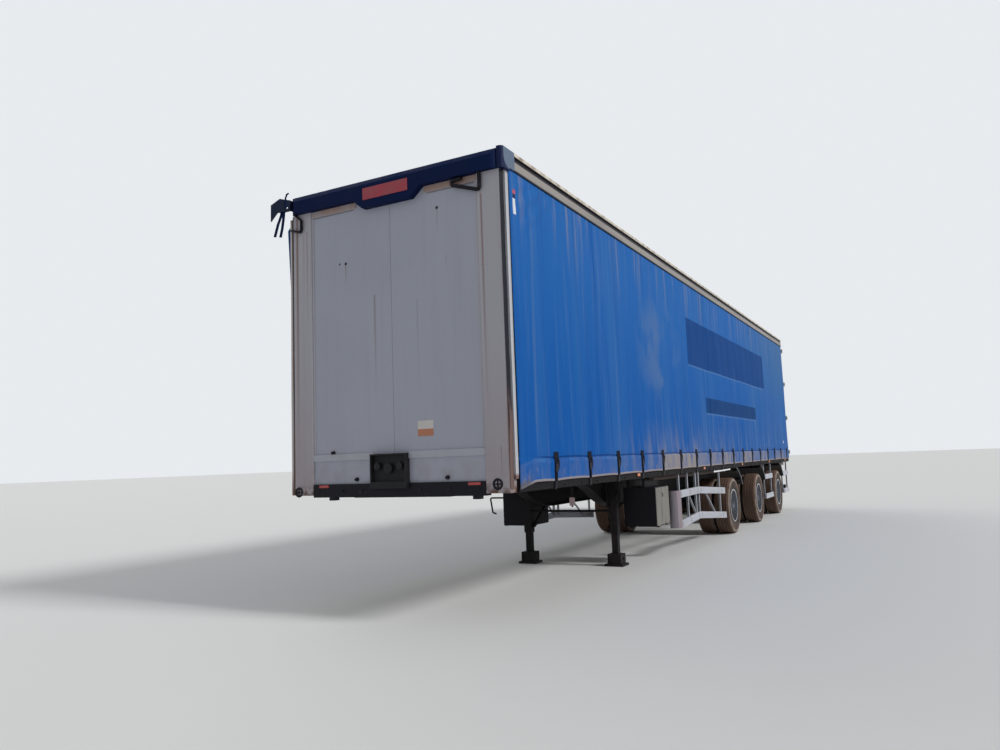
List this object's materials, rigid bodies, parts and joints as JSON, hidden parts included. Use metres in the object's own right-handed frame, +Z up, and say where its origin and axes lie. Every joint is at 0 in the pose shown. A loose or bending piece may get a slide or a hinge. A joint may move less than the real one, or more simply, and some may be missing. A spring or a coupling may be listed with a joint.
{
  "type": "curtain-sided semi trailer",
  "caption": "Long box semi trailer with blue side curtains and buckled straps, a white front wall, swing rear doors, spread axles on twin tyres and landing legs.",
  "frame": {"origin": "on the ground, midway along the length and the width", "axes": "+Z up, the front wall faces -Y, +X is the trailer's own left side"},
  "size_m": [2.7308, 15.6135, 4.325],
  "materials": {
    "chassis_beams": "black chassis paint, dusty",
    "crossmembers": "black chassis paint, dusty",
    "side_rails": "dark paint",
    "floor": "worn plywood boards",
    "coupling_plate": "greasy dark steel",
    "kingpin": "bare turned steel",
    "front_wall": "greyed white paint",
    "front_posts": "greyed white paint with rust",
    "front_beam": "black paint",
    "front_moulding": "white paint",
    "socket_box": "black plastic",
    "header_cap": "weathered black plastic",
    "header_plate": "blank faded red plate",
    "corner_caps": "weathered plastic",
    "header_brackets": "black painted tube",
    "roof_rails": "weathered aluminium",
    "roof": "pale roof cloth on metal bows",
    "curtains": "faded blue coated cloth",
    "curtain_poles": "weathered aluminium",
    "curtain_straps": "dark webbing with black buckles",
    "rear_frame": "greyed white paint",
    "rear_sill": "greyed white paint",
    "rear_door_left": "greyed white paint",
    "door_fittings_left": "galvanised steel",
    "rear_door_right": "greyed white paint",
    "door_fittings_right": "galvanised steel",
    "landing_legs": "black chassis paint, dusty",
    "landing_shaft": "black paint",
    "tool_boxes": "black paint",
    "tool_box_lid_left": "dull grey green paint",
    "tool_box_lid_right": "dull grey green paint",
    "side_guards": "bright weathered aluminium",
    "stowed_tube": "brown painted tube",
    "axles": "black dusty iron",
    "springs": "black dusty iron",
    "fenders": "black plastic",
    "rear_bumper": "black paint",
    "rear_lamps": "red lens",
    "side_lamps": "amber lens",
    "air_tanks": "black paint",
    "tyres_left_1": "dusty rubber",
    "rim_left_1": "polished aluminium",
    "tyres_left_2": "dusty rubber",
    "rim_left_2": "polished aluminium",
    "tyres_left_3": "dusty rubber",
    "rim_left_3": "polished aluminium",
    "tyres_right_1": "dusty rubber",
    "rim_right_1": "polished aluminium",
    "tyres_right_2": "dusty rubber",
    "rim_right_2": "polished aluminium",
    "tyres_right_3": "dusty rubber",
    "rim_right_3": "polished aluminium"
  },
  "bodies": {
    "trailer": {"chassis_beams": "chassis_beams", "crossmembers": "crossmembers", "side_rails": "side_rails", "floor": "floor", "coupling_plate": "coupling_plate", "kingpin": "kingpin", "front_wall": "front_wall", "front_posts": "front_posts", "front_beam": "front_beam", "front_moulding": "front_moulding", "socket_box": "socket_box", "header_cap": "header_cap", "header_plate": "header_plate", "corner_caps": "corner_caps", "header_brackets": "header_brackets", "roof_rails": "roof_rails", "roof": "roof", "curtains": "curtains", "curtain_poles": "curtain_poles", "curtain_straps": "curtain_straps", "rear_frame": "rear_frame", "rear_sill": "rear_sill", "landing_legs": "landing_legs", "landing_shaft": "landing_shaft", "tool_boxes": "tool_boxes", "side_guards": "side_guards", "stowed_tube": "stowed_tube", "axles": "axles", "springs": "springs", "fenders": "fenders", "rear_bumper": "rear_bumper", "rear_lamps": "rear_lamps", "side_lamps": "side_lamps", "air_tanks": "air_tanks"},
    "rear_door_left": {"rear_door_left": "rear_door_left", "door_fittings_left": "door_fittings_left"},
    "rear_door_right": {"rear_door_right": "rear_door_right", "door_fittings_right": "door_fittings_right"},
    "tool_box_lid_left": {"tool_box_lid_left": "tool_box_lid_left"},
    "tool_box_lid_right": {"tool_box_lid_right": "tool_box_lid_right"},
    "wheels_left_1": {"tyres_left_1": "tyres_left_1", "rim_left_1": "rim_left_1"},
    "wheels_left_2": {"tyres_left_2": "tyres_left_2", "rim_left_2": "rim_left_2"},
    "wheels_left_3": {"tyres_left_3": "tyres_left_3", "rim_left_3": "rim_left_3"},
    "wheels_right_1": {"tyres_right_1": "tyres_right_1", "rim_right_1": "rim_right_1"},
    "wheels_right_2": {"tyres_right_2": "tyres_right_2", "rim_right_2": "rim_right_2"},
    "wheels_right_3": {"tyres_right_3": "tyres_right_3", "rim_right_3": "rim_right_3"}
  },
  "joints": [
    {"name": "rear_door_left_swing", "type": "hinge", "parent": "trailer", "child": "rear_door_left", "pos_m": [1.285, 7.715, 2.7], "axis": [0, 0, -1], "range_deg": [0, 250]},
    {"name": "rear_door_right_swing", "type": "hinge", "parent": "trailer", "child": "rear_door_right", "pos_m": [-1.285, 7.715, 2.7], "axis": [0, 0, 1], "range_deg": [0, 250]},
    {"name": "tool_box_lid_left_drop", "type": "hinge", "parent": "trailer", "child": "tool_box_lid_left", "pos_m": [1.179, -3.085, 0.498], "axis": [0, 1, 0], "range_deg": [0, 100]},
    {"name": "tool_box_lid_right_drop", "type": "hinge", "parent": "trailer", "child": "tool_box_lid_right", "pos_m": [-1.179, -3.085, 0.498], "axis": [0, -1, 0], "range_deg": [0, 100]},
    {"name": "wheels_left_1_spin", "type": "hinge", "parent": "trailer", "child": "wheels_left_1", "pos_m": [0.99, 0.96, 0.5], "axis": [1, 0, 0], "continuous": true},
    {"name": "wheels_left_2_spin", "type": "hinge", "parent": "trailer", "child": "wheels_left_2", "pos_m": [0.99, 3.36, 0.5], "axis": [1, 0, 0], "continuous": true},
    {"name": "wheels_left_3_spin", "type": "hinge", "parent": "trailer", "child": "wheels_left_3", "pos_m": [0.99, 5.76, 0.5], "axis": [1, 0, 0], "continuous": true},
    {"name": "wheels_right_1_spin", "type": "hinge", "parent": "trailer", "child": "wheels_right_1", "pos_m": [-0.99, 0.96, 0.5], "axis": [1, 0, 0], "continuous": true},
    {"name": "wheels_right_2_spin", "type": "hinge", "parent": "trailer", "child": "wheels_right_2", "pos_m": [-0.99, 3.36, 0.5], "axis": [1, 0, 0], "continuous": true},
    {"name": "wheels_right_3_spin", "type": "hinge", "parent": "trailer", "child": "wheels_right_3", "pos_m": [-0.99, 5.76, 0.5], "axis": [1, 0, 0], "continuous": true}
  ]
}
